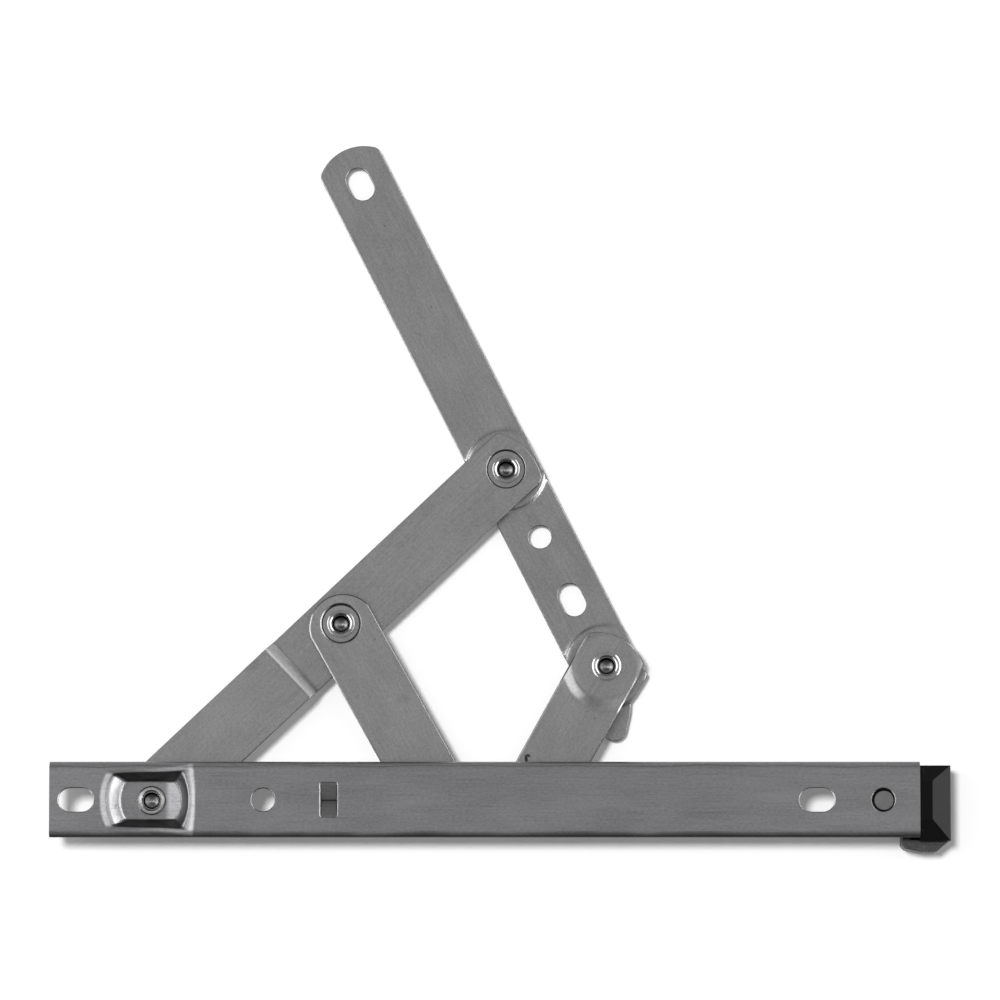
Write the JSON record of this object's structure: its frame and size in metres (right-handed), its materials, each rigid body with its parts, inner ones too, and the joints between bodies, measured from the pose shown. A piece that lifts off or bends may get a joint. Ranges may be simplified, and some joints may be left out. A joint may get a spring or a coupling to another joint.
{
  "type": "window friction stay",
  "caption": "Window friction stay: a channel track with an end cap, a slider, and four riveted arms that swing a sash open and closed.",
  "frame": {"origin": "centre of the track's round screw hole, on the track's back face", "axes": "+X along the track to the end cap, +Y to the side the sash arm opens to, +Z out of the track's back, away from the arms"},
  "size_m": [0.2105, 0.1677, 0.0139],
  "materials": {
    "track_steel": "mill-finish rolled steel, streaked along the track",
    "arm_steel": "matt tumbled steel with rounded stamped edges",
    "rivet_steel": "bright rolled steel",
    "slider_brass": "plain machined",
    "black_plastic": "black moulded, satin",
    "shoe_plastic": "plain moulded",
    "washer_plastic": "plain nylon"
  },
  "bodies": {
    "track": {"track": "track_steel", "end_cap": "black_plastic", "cap_rivet": "track_steel", "track_rivet": "rivet_steel", "washer_track": "washer_plastic"},
    "long_arm": {"long_arm": "arm_steel", "sash_rivet": "rivet_steel", "washer_sash": "washer_plastic", "washer_link": "washer_plastic"},
    "sash_arm": {"sash_arm": "arm_steel"},
    "mid_link": {"mid_link": "arm_steel", "link_rivet": "rivet_steel"},
    "slider": {"slider": "slider_brass", "friction_shoe": "shoe_plastic", "adjusting_screw": "slider_brass", "slider_rivet_mid": "rivet_steel", "slider_rivet_end": "rivet_steel", "washer_slider_mid": "washer_plastic", "washer_slider_end": "washer_plastic"},
    "end_link": {"end_link": "arm_steel", "nose_rivet": "rivet_steel", "washer_nose": "washer_plastic"}
  },
  "joints": [
    {"name": "long_arm_pivot", "type": "hinge", "parent": "track", "child": "long_arm", "pos_m": [-0.0262, 0, -0.007], "axis": [0, 0, 1], "range_deg": [-43.4, 0]},
    {"name": "sash_arm_pivot", "type": "hinge", "parent": "long_arm", "child": "sash_arm", "pos_m": [0.0567, 0.0784, -0.0115], "axis": [0, 0, 1], "range_deg": [0, 106.52]},
    {"name": "mid_link_pivot", "type": "hinge", "parent": "long_arm", "child": "mid_link", "pos_m": [0.0179, 0.04171, -0.007], "axis": [0, 0, 1], "range_deg": [0, 104.16]},
    {"name": "slider_mid_pivot", "type": "hinge", "parent": "mid_link", "child": "slider", "pos_m": [0.04126, 0, -0.006], "axis": [0, 0, 1], "range_deg": [-60.76, 0]},
    {"name": "slider_end_pivot", "type": "hinge", "parent": "slider", "child": "end_link", "pos_m": [0.06266, 0, -0.006], "axis": [0, 0, 1], "range_deg": [-61.01, 0]}
  ],
  "couplings": [
    {"joint": "sash_arm_pivot", "follows": "long_arm_pivot", "ratio": -2.4544},
    {"joint": "mid_link_pivot", "follows": "long_arm_pivot", "ratio": -2.3998},
    {"joint": "slider_mid_pivot", "follows": "long_arm_pivot", "ratio": 1.3998},
    {"joint": "slider_end_pivot", "follows": "long_arm_pivot", "ratio": 1.4056}
  ]
}
